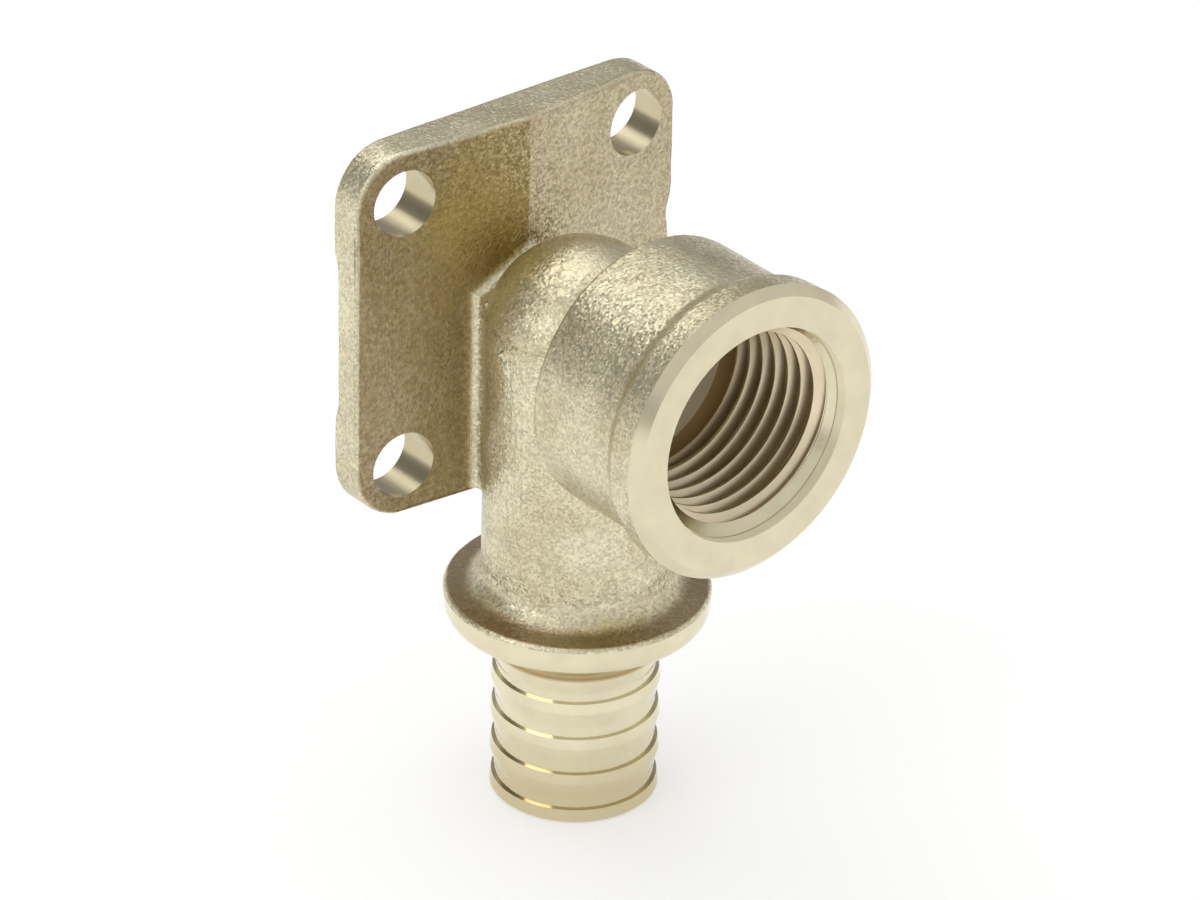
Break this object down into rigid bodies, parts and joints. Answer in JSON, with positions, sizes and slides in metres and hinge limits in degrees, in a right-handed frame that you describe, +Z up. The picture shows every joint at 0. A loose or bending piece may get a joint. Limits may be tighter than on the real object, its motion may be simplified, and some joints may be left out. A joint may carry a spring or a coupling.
{
  "type": "wall plate elbow",
  "caption": "Forged brass wall plate elbow: a square screw-on plate carries a domed pillar with a threaded pipe socket to the front and a ribbed pipe spigot under a collar.",
  "frame": {"origin": "on the wall plane, at the centre of the screw holes, which is on the socket's axis", "axes": "+X across the plate, +Y into the wall, +Z up; the socket opens to -Y and the spigot points to -Z"},
  "size_m": [0.0386, 0.039, 0.0693],
  "materials": {
    "forged_brass": "shot-blasted forging with turned and drilled faces"
  },
  "bodies": {
    "root": {"elbow_body": "forged_brass"}
  },
  "joints": []
}
